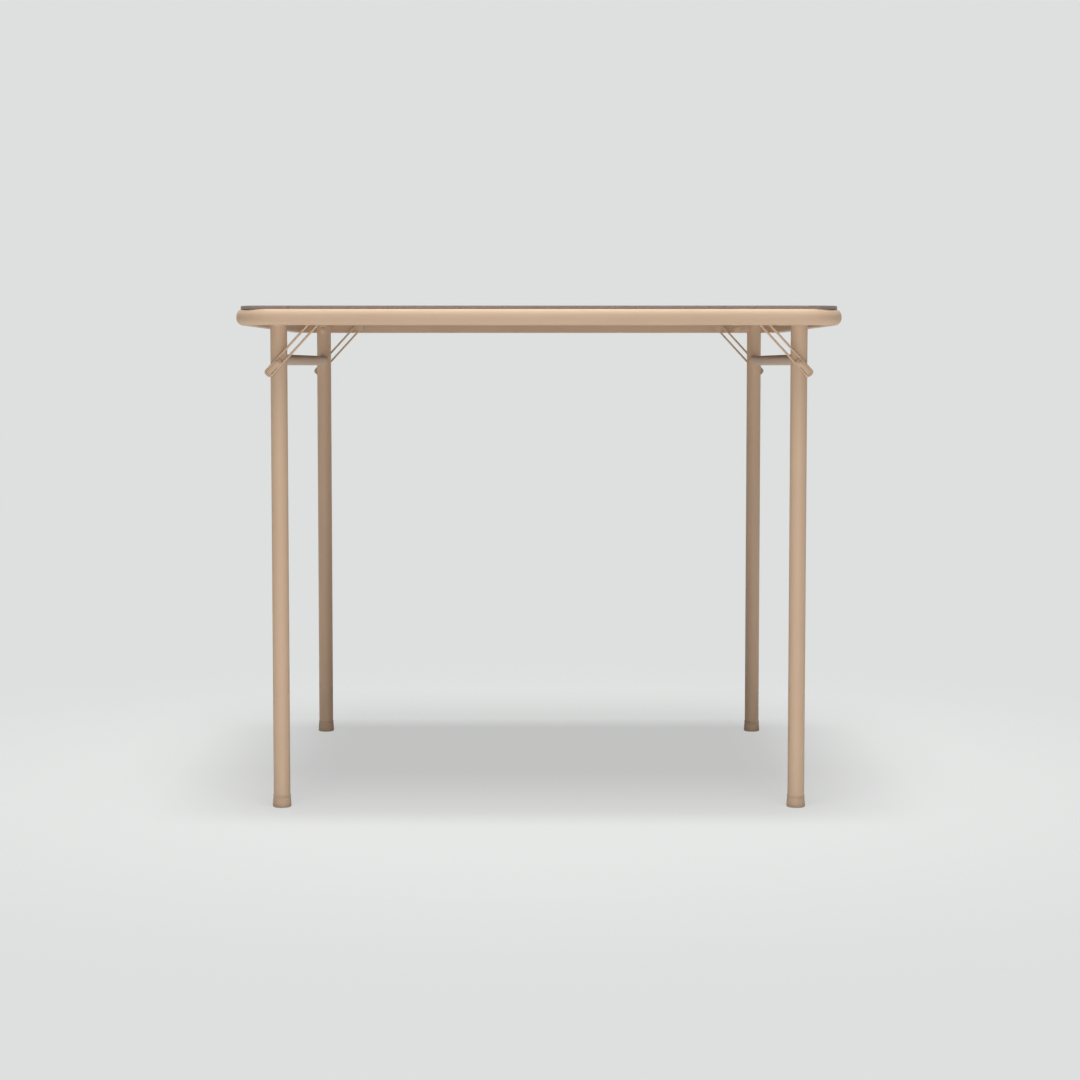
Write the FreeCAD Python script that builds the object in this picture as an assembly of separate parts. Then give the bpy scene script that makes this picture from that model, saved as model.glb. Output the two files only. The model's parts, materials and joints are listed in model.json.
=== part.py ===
import FreeCAD, Part
import math
import os

# Folding card table: a covered board on a rounded steel rim, standing on two pairs of tube legs.
# Each pair swings inwards under the top, steadied by a wire brace at every leg.
# Millimetres. Origin on the floor under the middle of the top, +X right, +Y to the back, +Z up.

# Whole table
TABLE_WIDTH = 864.0
TABLE_DEPTH = 864.0
TABLE_HEIGHT = 722.0

# Covered top
PANEL_INSET = 7.8
PANEL_CORNER_RADIUS = 40.0
BOARD_THICKNESS = 4.0
PAD_THICKNESS = 0.6
COVER_THICKNESS = 0.7
COVER_EDGE_ROUND = 1.4

# Rim tube
RIM_HEIGHT = 22.5
RIM_WIDTH = 22.0
RIM_WALL = 1.0
RIM_CORNER_RADIUS = 60.0
RIM_TOP_DEPTH = 10.0
RIM_EDGE_ROUND = 4.0
RIM_FLANK_ROUND = 14.0
RIM_FACE = 2.0
RIM_INNER_ROUND = 2.0
VENT_RADIUS = 1.5

# Legs and feet
LEG_INSET = 60.0
LEG_DIAMETER = 24.0
LEG_WALL = 1.2
PLUG_LENGTH = 24.0
PLUG_FLANGE = 1.5
FOOT_WALL = 1.5
FOOT_TOP_WALL = 0.9
FOOT_HEIGHT = 18.0
FOOT_FLOOR = 4.0
FOOT_ROUND = 2.0
CROSSBAR_DIAMETER = 15.9
CROSSBAR_WALL = 1.2
CROSSBAR_DROP = 71.0

# Hinges under the top
PLATE_THICKNESS = 1.5
PLATE_MARGIN = 8.0
BASE_LENGTH = 28.0
BASE_THICKNESS = 2.0
BASE_FLANGE = 13.0
EAR_THICKNESS = 2.0
EAR_RADIUS = 6.0
PIN_RADIUS = 3.0
PIN_HEAD_RADIUS = 5.0
PIN_HEAD_HEIGHT = 2.0
LEG_TOP_ABOVE_PIN = 7.0
LUG_PIN_RISE = 2.0
LUG_BARREL_RADIUS = 6.0
LUG_ARM_WIDTH = 18.0
RIVET_RADIUS = 2.0
RIVET_HEAD_RADIUS = 3.5
RIVET_HEAD_HEIGHT = 1.5
SCREW_RADIUS = 1.5
SCREW_HEAD_RADIUS = 3.2
SCREW_HEAD_HEIGHT = 1.6
SCREW_BITE = 3.0

# Wire braces
BRACE_ANGLE = math.radians(47.4)
BRACE_STUD_DROP = 76.2
BRACE_WIRE_RADIUS = 1.6
BRACE_WIRE_SPACING = 10.0
BRACE_TAIL = 22.0
BRACE_BEND_RADIUS = 3.5
BRACE_STANDOFF = 5.8
CLIP_RADIUS = 6.0
CLIP_THICKNESS = 4.8
TONGUE_THICKNESS = 2.5
SHOE_RADIUS = 8.0
SHOE_WIDTH = 9.0
SHOE_SOCKET_DEPTH = 9.0
STUD_RADIUS = 2.5
STUD_COLLAR_RADIUS = 3.8
STUD_HEAD_HEIGHT = 2.0
RAIL_THICKNESS = 1.5
RAIL_FLANGE = 7.5
RAIL_LIP = 2.0
RAIL_END = 16.0

# Clearances
FIT_GAP = 0.05
RUN_GAP = 0.3
SWING_GAP = 0.8
NEST_GAP = 1.2
WELD_GAP = 0.02

# Heights and places that follow from the sizes above
HALF_WIDTH = TABLE_WIDTH / 2
HALF_DEPTH = TABLE_DEPTH / 2
RIM_TOP = TABLE_HEIGHT - BOARD_THICKNESS - PAD_THICKNESS - COVER_THICKNESS
RIM_BOTTOM = RIM_TOP - RIM_HEIGHT
RIM_BOTTOM_ROUND = RIM_HEIGHT - RIM_TOP_DEPTH - RIM_FACE
RIM_OVAL_TURN = math.asin((RIM_TOP_DEPTH - RIM_EDGE_ROUND) / (RIM_FLANK_ROUND - RIM_EDGE_ROUND))
RIM_EDGE_INSET = RIM_FLANK_ROUND - (RIM_FLANK_ROUND - RIM_EDGE_ROUND) * math.cos(RIM_OVAL_TURN)
LEG_X = HALF_WIDTH - LEG_INSET
LEG_Y = HALF_DEPTH - LEG_INSET
LEG_RADIUS = LEG_DIAMETER / 2
LEG_BORE_RADIUS = LEG_RADIUS - LEG_WALL
FOOT_RADIUS = LEG_RADIUS + FOOT_WALL
FOOT_TOP_RADIUS = LEG_RADIUS + FOOT_TOP_WALL
CROSSBAR_Z = RIM_TOP - CROSSBAR_DROP
BASE_BOTTOM = RIM_TOP - PLATE_THICKNESS - BASE_THICKNESS
LEG_TOP_SWING = math.hypot(LEG_TOP_ABOVE_PIN, LEG_RADIUS)
LEG_PIN_Z = BASE_BOTTOM - SWING_GAP - LEG_TOP_SWING
EAR_INNER = LEG_RADIUS + 2 * RUN_GAP
EAR_OUTER = EAR_INNER + EAR_THICKNESS
BASE_HALF_WIDTH = EAR_OUTER + BASE_FLANGE
RIVET_OFFSET = EAR_OUTER + BASE_FLANGE / 2
RIVET_ALONG = BASE_LENGTH / 4

# The right pair turns on lugs inboard of its legs, so it folds flat below the left pair
NEST_OFFSET = LUG_PIN_RISE + LEG_RADIUS + FOOT_RADIUS + NEST_GAP
HINGE_INSET = {"left": 0.0, "right": NEST_OFFSET}
HINGE_Z = {"left": LEG_PIN_Z, "right": LEG_PIN_Z + LUG_PIN_RISE}
LEG_TOP = {
    "left": LEG_PIN_Z + LEG_TOP_ABOVE_PIN,
    "right": BASE_BOTTOM - RIVET_HEAD_HEIGHT - SWING_GAP,
}

# Brace: from the stud on the leg up to the shoe under its rail
STUD_Z = RIM_TOP - BRACE_STUD_DROP
BRACE_OFFSET = LEG_RADIUS + BRACE_STANDOFF
SHOE_DROP = PLATE_THICKNESS + RAIL_THICKNESS + RUN_GAP + SHOE_RADIUS
BRACE_LENGTH = (BRACE_STUD_DROP - SHOE_DROP) / math.sin(BRACE_ANGLE)
SHOE_REACH = BRACE_LENGTH * math.cos(BRACE_ANGLE)
CLIP_INNER = BRACE_OFFSET - CLIP_THICKNESS / 2
CLIP_OUTER = BRACE_OFFSET + CLIP_THICKNESS / 2
SHOE_INNER = BRACE_OFFSET - SHOE_WIDTH / 2
SHOE_OUTER = BRACE_OFFSET + SHOE_WIDTH / 2

SIDES = {"left": -1, "right": 1}
ENDS = {"front": -1, "back": 1}


def folded_brace_angle(side):
    """Slope of a brace when its leg lies flat, with its shoe back under the rail."""
    stud_drop = RIM_TOP - HINGE_Z[side] + HINGE_INSET[side]
    return math.asin((stud_drop - SHOE_DROP) / BRACE_LENGTH)


def folded_shoe_reach(side):
    """How far inboard of the standing leg the shoe lies when the leg is folded."""
    stud_reach = HINGE_INSET[side] + HINGE_Z[side] - STUD_Z
    return stud_reach + BRACE_LENGTH * math.cos(folded_brace_angle(side))


def rail_span(side):
    """Inboard start and end of a slide rail, measured from the leg's axis."""
    return SHOE_REACH - RAIL_END, folded_shoe_reach(side) + RAIL_END


def vector(x, y, z):
    return FreeCAD.Vector(x, y, z)


def rod_y(radius, x, y_start, y_end, z):
    low = min(y_start, y_end)
    return Part.makeCylinder(radius, abs(y_end - y_start), vector(x, low, z), vector(0, 1, 0))


def rod_z(radius, x, y, z_low, z_high):
    return Part.makeCylinder(radius, z_high - z_low, vector(x, y, z_low), vector(0, 0, 1))


def block(x_range, y_range, z_range):
    x_low, x_high = sorted(x_range)
    y_low, y_high = sorted(y_range)
    z_low, z_high = sorted(z_range)
    return Part.makeBox(x_high - x_low, y_high - y_low, z_high - z_low, vector(x_low, y_low, z_low))


def rounded_slab(half_x, half_y, radius, z_low, z_high):
    """Upright slab about the table's middle, with its four corners rounded in plan."""
    slab = block((-half_x, half_x), (-half_y, half_y), (z_low, z_high))
    upright = [edge for edge in slab.Edges if edge.BoundBox.ZLength > (z_high - z_low) / 2]
    return slab.makeFillet(radius, upright)


def level_edges(shape, level, outer):
    """Edges round the outside or the inside of the flat face at one height."""
    for face in shape.Faces:
        flat = face.BoundBox.ZLength < FIT_GAP
        if flat and abs(face.BoundBox.ZMin - level) < FIT_GAP:
            wires = [wire for wire in face.Wires if wire.isSame(face.OuterWire) == outer]
            return [edge for wire in wires for edge in wire.Edges]
    raise ValueError("no flat face at this height")


def rim_section(half_across, y, skin):
    """Face across the rim at +X, drawn in by a skin: round below, oval above, with tight inner edges."""
    inner = RIM_WIDTH - RIM_INNER_ROUND
    quarter = math.pi / 2
    rounds = ((RIM_BOTTOM_ROUND, RIM_BOTTOM + RIM_BOTTOM_ROUND, RIM_BOTTOM_ROUND, -quarter, 0),
              (RIM_FLANK_ROUND, RIM_TOP - RIM_TOP_DEPTH, RIM_FLANK_ROUND, 0, RIM_OVAL_TURN),
              (RIM_EDGE_INSET, RIM_TOP - RIM_EDGE_ROUND, RIM_EDGE_ROUND, RIM_OVAL_TURN, quarter),
              (inner, RIM_TOP - RIM_INNER_ROUND, RIM_INNER_ROUND, quarter, 2 * quarter),
              (inner, RIM_BOTTOM + RIM_INNER_ROUND, RIM_INNER_ROUND, 2 * quarter, 3 * quarter))
    arcs = []
    for inset, height, radius, start, end in rounds:
        points = []
        for angle in (start, (start + end) / 2, end):
            out = (radius - skin) * math.cos(angle)
            rise = (radius - skin) * math.sin(angle)
            points.append(vector(half_across - inset + out, y, height + rise))
        arcs.append(points)
    edges = []
    for points, following in zip(arcs, arcs[1:] + arcs[:1]):
        edges.append(Part.Arc(*points).toShape())
        if points[-1].distanceToPoint(following[0]) > FIT_GAP:
            edges.append(Part.LineSegment(points[-1], following[0]).toShape())
    return Part.Face(Part.Wire(edges))


def rim_ring(skin):
    """Rim tube's form, drawn in by a skin: four straight runs, each going on into a turned corner."""
    runs = []
    for turn in range(4):
        half_across, half_along = (HALF_WIDTH, HALF_DEPTH) if turn % 2 == 0 else (HALF_DEPTH, HALF_WIDTH)
        centre_x = half_across - RIM_CORNER_RADIUS
        centre_y = half_along - RIM_CORNER_RADIUS
        straight = rim_section(half_across, -centre_y, skin).extrude(vector(0, 2 * centre_y, 0))
        bend = rim_section(half_across, centre_y, skin).revolve(
            vector(centre_x, centre_y, 0), vector(0, 0, 1), 90)
        for run in (straight, bend):
            run.rotate(vector(0, 0, 0), vector(0, 0, 1), 90 * turn)
            runs.append(run)
    return runs[0].multiFuse(runs[1:]).removeSplitter()


def rim_frame():
    """Hollow rolled rim with a vent hole under the middle of each side."""
    rim = rim_ring(0).cut(rim_ring(RIM_WALL))
    middle_x = HALF_WIDTH - RIM_WIDTH / 2
    middle_y = HALF_DEPTH - RIM_WIDTH / 2
    vent_low = RIM_BOTTOM - RIM_WALL
    vent_high = RIM_BOTTOM + 2 * RIM_WALL
    for x, y in ((middle_x, 0), (-middle_x, 0), (0, middle_y), (0, -middle_y)):
        rim = rim.cut(rod_z(VENT_RADIUS, x, y, vent_low, vent_high))
    return rim


def panel_slab(skin, z_low, z_high):
    half_x = HALF_WIDTH - PANEL_INSET - skin
    half_y = HALF_DEPTH - PANEL_INSET - skin
    return rounded_slab(half_x, half_y, PANEL_CORNER_RADIUS - skin, z_low, z_high)


def top_board():
    """Fibreboard on the rim, with blind holes for the screws from below."""
    board = panel_slab(COVER_THICKNESS + FIT_GAP, RIM_TOP, RIM_TOP + BOARD_THICKNESS)
    for x, y in screw_places():
        board = board.cut(rod_z(SCREW_RADIUS + FIT_GAP, x, y, RIM_TOP, RIM_TOP + SCREW_BITE + FIT_GAP))
    return board


def top_pad():
    low = RIM_TOP + BOARD_THICKNESS
    return panel_slab(COVER_THICKNESS + FIT_GAP, low, low + PAD_THICKNESS)


def top_cover():
    """Covering skin over the pad and down round the board's edge."""
    cover = panel_slab(0, RIM_TOP, TABLE_HEIGHT)
    cover = cover.makeFillet(COVER_EDGE_ROUND, level_edges(cover, TABLE_HEIGHT, True))
    return cover.cut(panel_slab(COVER_THICKNESS, RIM_TOP, TABLE_HEIGHT - COVER_THICKNESS))


def corner_places():
    """Every leg: its name, side and end words, signs and standing axis."""
    for end, end_sign in ENDS.items():
        for side, side_sign in SIDES.items():
            yield end + "_" + side, side, side_sign, end_sign


def leg_axis(side_sign, end_sign):
    return side_sign * LEG_X, end_sign * LEG_Y


def hinge_x(side, side_sign):
    return side_sign * (LEG_X - HINGE_INSET[side])


def screw_places():
    """Two board screws through every hinge plate, beside the folded leg."""
    for _, side, side_sign, end_sign in corner_places():
        for reach in (SHOE_REACH + RAIL_END, rail_span(side)[1]):
            yield side_sign * (LEG_X - reach), end_sign * (LEG_Y - RIVET_OFFSET)


def bracket_rivet_places(side, side_sign, end_sign):
    x_pin = hinge_x(side, side_sign)
    for along in (-RIVET_ALONG, RIVET_ALONG):
        for across in (-RIVET_OFFSET, RIVET_OFFSET):
            yield x_pin + along, end_sign * LEG_Y + across


def rail_rivet_places(side, side_sign, end_sign):
    start, end = rail_span(side)
    for reach in (start + RIVET_HEAD_RADIUS, end - RIVET_HEAD_RADIUS):
        yield side_sign * (LEG_X - reach), end_sign * (LEG_Y + BRACE_OFFSET)


def hinge_plate(side, side_sign, end_sign):
    """Steel plate welded into a rim corner, carrying one leg bracket and one slide rail."""
    low = RIM_TOP - PLATE_THICKNESS
    inset = RIM_WIDTH + FIT_GAP
    corner_radius = RIM_CORNER_RADIUS - inset
    inside = rounded_slab(HALF_WIDTH - inset, HALF_DEPTH - inset, corner_radius, low, RIM_TOP)
    x_inner = side_sign * (LEG_X - rail_span(side)[1] - PLATE_MARGIN)
    y_inner = end_sign * (LEG_Y - BASE_HALF_WIDTH - PLATE_MARGIN)
    outline = block((x_inner, side_sign * HALF_WIDTH), (y_inner, end_sign * HALF_DEPTH), (low, RIM_TOP))
    plate = inside.common(outline)
    rivets = list(bracket_rivet_places(side, side_sign, end_sign))
    rivets += rail_rivet_places(side, side_sign, end_sign)
    for x, y in rivets:
        plate = plate.cut(rod_z(RIVET_RADIUS + FIT_GAP, x, y, low, RIM_TOP))
    for x, y in screw_places():
        plate = plate.cut(rod_z(SCREW_RADIUS + FIT_GAP, x, y, low, RIM_TOP))
    return plate


def leg_bracket(side, side_sign, end_sign):
    """Base plate with two ears that hold a hinge pin."""
    x_pin = hinge_x(side, side_sign)
    z_pin = HINGE_Z[side]
    y_leg = end_sign * LEG_Y
    base_top = BASE_BOTTOM + BASE_THICKNESS
    x_span = (x_pin - BASE_LENGTH / 2, x_pin + BASE_LENGTH / 2)
    y_span = (y_leg - BASE_HALF_WIDTH, y_leg + BASE_HALF_WIDTH)
    bracket = block(x_span, y_span, (BASE_BOTTOM, base_top))
    for across in (-1, 1):
        y_inner = y_leg + across * EAR_INNER
        y_outer = y_leg + across * EAR_OUTER
        x_ear = (x_pin - EAR_RADIUS, x_pin + EAR_RADIUS)
        ear = block(x_ear, (y_inner, y_outer), (z_pin, BASE_BOTTOM))
        ear = ear.fuse(rod_y(EAR_RADIUS, x_pin, y_inner, y_outer, z_pin))
        bracket = bracket.fuse(ear)
    bracket = bracket.cut(pin_bore(side, side_sign, end_sign))
    for x, y in bracket_rivet_places(side, side_sign, end_sign):
        bracket = bracket.cut(rod_z(RIVET_RADIUS + FIT_GAP, x, y, BASE_BOTTOM, base_top))
    return bracket.removeSplitter()


def hinge_pin(side, side_sign, end_sign):
    """Headed pin through both ears of a bracket."""
    x_pin = hinge_x(side, side_sign)
    y_leg = end_sign * LEG_Y
    z_pin = HINGE_Z[side]
    reach = EAR_OUTER + FIT_GAP
    pin = rod_y(PIN_RADIUS, x_pin, y_leg - reach, y_leg + reach, z_pin)
    for across in (-1, 1):
        y_seat = y_leg + across * reach
        y_end = y_leg + across * (reach + PIN_HEAD_HEIGHT)
        pin = pin.fuse(rod_y(PIN_HEAD_RADIUS, x_pin, y_seat, y_end, z_pin))
    return pin.removeSplitter()


def slide_rail(side, side_sign, end_sign):
    """Angle rail that a brace's shoe runs under, with an outer flange to guide it."""
    start, end = rail_span(side)
    x_span = (side_sign * (LEG_X - start), side_sign * (LEG_X - end))
    top = RIM_TOP - PLATE_THICKNESS
    y_inner = end_sign * (LEG_Y + SHOE_INNER - RAIL_LIP)
    y_guide = end_sign * (LEG_Y + SHOE_OUTER + RUN_GAP)
    y_outer = y_guide + end_sign * RAIL_THICKNESS
    rail = block(x_span, (y_inner, y_outer), (top - RAIL_THICKNESS, top))
    rail = rail.fuse(block(x_span, (y_guide, y_outer), (top - RAIL_FLANGE, top)))
    for x, y in rail_rivet_places(side, side_sign, end_sign):
        rail = rail.cut(rod_z(RIVET_RADIUS + FIT_GAP, x, y, top - RAIL_THICKNESS, top))
    return rail.removeSplitter()


def rivet(x, y, seat):
    """Rivet with its head under the seat and its shank flush with the hinge plate's top."""
    head = rod_z(RIVET_HEAD_RADIUS, x, y, seat - RIVET_HEAD_HEIGHT, seat)
    return head.fuse(rod_z(RIVET_RADIUS, x, y, seat, RIM_TOP)).removeSplitter()


def bracket_rivets():
    rivets = []
    for _, side, side_sign, end_sign in corner_places():
        for x, y in bracket_rivet_places(side, side_sign, end_sign):
            rivets.append(rivet(x, y, BASE_BOTTOM))
    return Part.makeCompound(rivets)


def rail_rivets():
    rivets = []
    for _, side, side_sign, end_sign in corner_places():
        for x, y in rail_rivet_places(side, side_sign, end_sign):
            rivets.append(rivet(x, y, RIM_TOP - PLATE_THICKNESS - RAIL_THICKNESS))
    return Part.makeCompound(rivets)


def board_screws():
    seat = RIM_TOP - PLATE_THICKNESS
    screws = []
    for x, y in screw_places():
        head = rod_z(SCREW_HEAD_RADIUS, x, y, seat - SCREW_HEAD_HEIGHT, seat)
        screws.append(head.fuse(rod_z(SCREW_RADIUS, x, y, seat, RIM_TOP + SCREW_BITE)).removeSplitter())
    return Part.makeCompound(screws)


def pin_bore(side, side_sign, end_sign):
    """Running bore for a hinge pin across a bracket and the leg or lug in it."""
    x_pin = hinge_x(side, side_sign)
    y_leg = end_sign * LEG_Y
    return rod_y(PIN_RADIUS + FIT_GAP, x_pin, y_leg - EAR_OUTER, y_leg + EAR_OUTER, HINGE_Z[side])


def leg(side, side_sign, end_sign):
    """Leg tube from its foot up to its plug's flange, with the stud's hole in its outer wall."""
    x, y = leg_axis(side_sign, end_sign)
    top = LEG_TOP[side] - PLUG_FLANGE
    tube = rod_z(LEG_RADIUS, x, y, FOOT_FLOOR, top)
    tube = tube.cut(rod_z(LEG_BORE_RADIUS, x, y, FOOT_FLOOR, top))
    if HINGE_INSET[side] == 0:
        tube = tube.cut(pin_bore(side, side_sign, end_sign))
    return tube.cut(rod_y(STUD_RADIUS + FIT_GAP, x, y, y + end_sign * EAR_INNER, STUD_Z))


def leg_plug(side, side_sign, end_sign):
    """Plug that closes a leg's top, bored where the hinge pin runs through the leg."""
    x, y = leg_axis(side_sign, end_sign)
    top = LEG_TOP[side]
    plug = rod_z(LEG_RADIUS, x, y, top - PLUG_FLANGE, top)
    plug = plug.fuse(rod_z(LEG_BORE_RADIUS - FIT_GAP, x, y, top - PLUG_LENGTH, top - PLUG_FLANGE))
    if HINGE_INSET[side] == 0:
        plug = plug.cut(pin_bore(side, side_sign, end_sign))
    return plug.removeSplitter()


def foot(side_sign, end_sign):
    """Tapered foot cap, rounded where it meets the floor."""
    x, y = leg_axis(side_sign, end_sign)
    cap = Part.makeCone(FOOT_RADIUS, FOOT_TOP_RADIUS, FOOT_HEIGHT, vector(x, y, 0), vector(0, 0, 1))
    cap = cap.makeFillet(FOOT_ROUND, level_edges(cap, 0, True))
    return cap.cut(rod_z(LEG_RADIUS + FIT_GAP, x, y, FOOT_FLOOR, FOOT_HEIGHT))


def crossbar(side_sign):
    """Tube from the front leg to the back leg of one pair, coped to both."""
    x, y = leg_axis(side_sign, 1)
    bar = rod_y(CROSSBAR_DIAMETER / 2, x, -y, y, CROSSBAR_Z)
    bar = bar.cut(rod_y(CROSSBAR_DIAMETER / 2 - CROSSBAR_WALL, x, -y, y, CROSSBAR_Z))
    low = CROSSBAR_Z - CROSSBAR_DIAMETER
    high = CROSSBAR_Z + CROSSBAR_DIAMETER
    for y_leg in (-y, y):
        bar = bar.cut(rod_z(LEG_RADIUS + WELD_GAP, x, y_leg, low, high))
    return bar


def hinge_lug(side, side_sign, end_sign):
    """Barrel and arm on the inboard side of a right leg."""
    x, y = leg_axis(side_sign, end_sign)
    x_pin = hinge_x(side, side_sign)
    z_pin = HINGE_Z[side]
    half_barrel = EAR_INNER - RUN_GAP
    lug = rod_y(LUG_BARREL_RADIUS, x_pin, y - half_barrel, y + half_barrel, z_pin)
    arm_z = (z_pin - LUG_BARREL_RADIUS, z_pin + LUG_BARREL_RADIUS)
    lug = lug.fuse(block((x_pin, x), (y - LUG_ARM_WIDTH / 2, y + LUG_ARM_WIDTH / 2), arm_z))
    lug = lug.cut(rod_z(LEG_RADIUS + WELD_GAP, x, y, arm_z[0], arm_z[1]))
    lug = lug.cut(pin_bore(side, side_sign, end_sign))
    return max(lug.Solids, key=lambda solid: solid.Volume)


def brace_stud(side_sign, end_sign):
    """Shoulder stud set in a leg's outer wall: tail inside, collar, then a head outside the clip."""
    x, y = leg_axis(side_sign, end_sign)
    tail_end = math.sqrt(LEG_BORE_RADIUS ** 2 - STUD_COLLAR_RADIUS ** 2) - FIT_GAP
    head_seat = CLIP_OUTER + RUN_GAP
    spans = ((STUD_COLLAR_RADIUS, tail_end - STUD_HEAD_HEIGHT, tail_end),
             (STUD_RADIUS, tail_end, head_seat),
             (STUD_COLLAR_RADIUS, LEG_RADIUS + FIT_GAP, CLIP_INNER - RUN_GAP),
             (STUD_COLLAR_RADIUS, head_seat, head_seat + STUD_HEAD_HEIGHT))
    stud = None
    for radius, start, end in spans:
        piece = rod_y(radius, x, y + end_sign * start, y + end_sign * end, STUD_Z)
        stud = piece if stud is None else stud.fuse(piece)
    return stud.removeSplitter()


def brace_frame(side_sign, end_sign):
    """Stud centre in the brace's plane, the way up the brace, and the way across it."""
    x, y = leg_axis(side_sign, end_sign)
    centre = vector(x, y + end_sign * BRACE_OFFSET, STUD_Z)
    up = vector(-side_sign * math.cos(BRACE_ANGLE), 0, math.sin(BRACE_ANGLE))
    across = vector(side_sign * math.sin(BRACE_ANGLE), 0, math.cos(BRACE_ANGLE))
    return centre, up, across


def brace_wire(side_sign, end_sign):
    """Hairpin of round wire: two straight limbs joined by a square end outboard of the leg."""
    centre, up, across = brace_frame(side_sign, end_sign)
    half = BRACE_WIRE_SPACING / 2
    limb_top = BRACE_LENGTH - SHOE_RADIUS + SHOE_SOCKET_DEPTH - FIT_GAP
    bend_slack = BRACE_BEND_RADIUS * (1 - math.sqrt(0.5))
    ends, limb_ends, bends, bar_ends = [], [], [], []
    for way in (1, -1):
        corner = centre - up * BRACE_TAIL + across * (half * way)
        ends.append(centre + up * limb_top + across * (half * way))
        limb_ends.append(corner + up * BRACE_BEND_RADIUS)
        bends.append(corner + up * bend_slack - across * (bend_slack * way))
        bar_ends.append(corner - across * (BRACE_BEND_RADIUS * way))
    path = Part.Wire([Part.LineSegment(ends[0], limb_ends[0]).toShape(),
                      Part.Arc(limb_ends[0], bends[0], bar_ends[0]).toShape(),
                      Part.LineSegment(bar_ends[0], bar_ends[1]).toShape(),
                      Part.Arc(bar_ends[1], bends[1], limb_ends[1]).toShape(),
                      Part.LineSegment(limb_ends[1], ends[1]).toShape()])
    profile = Part.Wire([Part.Circle(ends[0], up, BRACE_WIRE_RADIUS).toShape()])
    return path.makePipeShell([profile], True, False)


def limb_bores(side_sign, end_sign, start, end):
    """Bores for the two limbs of a brace between two distances up it from the stud."""
    centre, up, across = brace_frame(side_sign, end_sign)
    bores = []
    for way in (1, -1):
        base = centre + up * start + across * (way * BRACE_WIRE_SPACING / 2)
        bores.append(Part.makeCylinder(BRACE_WIRE_RADIUS + FIT_GAP, end - start, base, up))
    return bores


def clip_tongue(side_sign, end_sign):
    """Plate of a clip that fills the hairpin down to its square end."""
    centre, up, across = brace_frame(side_sign, end_sign)
    half = BRACE_WIRE_SPACING / 2 - BRACE_WIRE_RADIUS - 2 * FIT_GAP
    reach = BRACE_TAIL - BRACE_WIRE_RADIUS - 2 * FIT_GAP
    back = vector(0, TONGUE_THICKNESS / 2, 0)
    corners = []
    for way, along in ((1, 0), (-1, 0), (-1, reach), (1, reach)):
        corners.append(centre - back + across * (way * half) - up * along)
    plate = Part.Face(Part.makePolygon(corners + corners[:1])).extrude(back * 2)
    end_edges = []
    for edge in plate.Edges:
        at_end = (edge.CenterOfMass - centre).dot(up) < -reach / 2
        if at_end and edge.BoundBox.YLength > TONGUE_THICKNESS / 2:
            end_edges.append(edge)
    return plate.makeFillet(BRACE_BEND_RADIUS - BRACE_WIRE_RADIUS, end_edges)


def brace_clip(side_sign, end_sign):
    """Round clip that holds both limbs and turns on the stud, with a tongue between the limbs."""
    x, y = leg_axis(side_sign, end_sign)
    y_inner = y + end_sign * CLIP_INNER
    y_outer = y + end_sign * CLIP_OUTER
    clip = rod_y(CLIP_RADIUS, x, y_inner, y_outer, STUD_Z)
    for bore in limb_bores(side_sign, end_sign, -CLIP_RADIUS, CLIP_RADIUS):
        clip = clip.cut(bore)
    clip = clip.fuse(clip_tongue(side_sign, end_sign))
    return clip.cut(rod_y(STUD_RADIUS + FIT_GAP, x, y_inner, y_outer, STUD_Z)).removeSplitter()


def brace_shoe(side_sign, end_sign):
    """Round sliding shoe at the top of a brace, with a socket for each limb."""
    centre, up, _ = brace_frame(side_sign, end_sign)
    top = centre + up * BRACE_LENGTH
    y_leg = end_sign * LEG_Y
    shoe = rod_y(SHOE_RADIUS, top.x, y_leg + end_sign * SHOE_INNER, y_leg + end_sign * SHOE_OUTER, top.z)
    socket_end = BRACE_LENGTH - SHOE_RADIUS + SHOE_SOCKET_DEPTH
    for bore in limb_bores(side_sign, end_sign, BRACE_LENGTH - 2 * SHOE_RADIUS, socket_end):
        shoe = shoe.cut(bore)
    return shoe


def all_pieces():
    """Every piece by its name."""
    pieces = {"rim_frame": rim_frame(), "top_board": top_board(), "top_pad": top_pad(),
              "top_cover": top_cover(), "bracket_rivets": bracket_rivets(),
              "rail_rivets": rail_rivets(), "board_screws": board_screws()}
    for side, side_sign in SIDES.items():
        pieces["crossbar_" + side] = crossbar(side_sign)
    for corner, side, side_sign, end_sign in corner_places():
        pieces["hinge_plate_" + corner] = hinge_plate(side, side_sign, end_sign)
        pieces["leg_bracket_" + corner] = leg_bracket(side, side_sign, end_sign)
        pieces["hinge_pin_" + corner] = hinge_pin(side, side_sign, end_sign)
        pieces["slide_rail_" + corner] = slide_rail(side, side_sign, end_sign)
        pieces["leg_" + corner] = leg(side, side_sign, end_sign)
        pieces["leg_plug_" + corner] = leg_plug(side, side_sign, end_sign)
        pieces["foot_" + corner] = foot(side_sign, end_sign)
        pieces["brace_stud_" + corner] = brace_stud(side_sign, end_sign)
        pieces["brace_wire_" + corner] = brace_wire(side_sign, end_sign)
        pieces["brace_clip_" + corner] = brace_clip(side_sign, end_sign)
        pieces["brace_shoe_" + corner] = brace_shoe(side_sign, end_sign)
        if HINGE_INSET[side] > 0:
            pieces["hinge_lug_" + corner] = hinge_lug(side, side_sign, end_sign)
    return pieces


def main():
    os.makedirs("parts", exist_ok=True)
    for name, shape in all_pieces().items():
        shape.exportStep("parts/" + name + ".step")


if __name__ == "__main__":
    main()
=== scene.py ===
import json
import math
import bmesh
import bpy
from mathutils import Matrix, Vector


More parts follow.
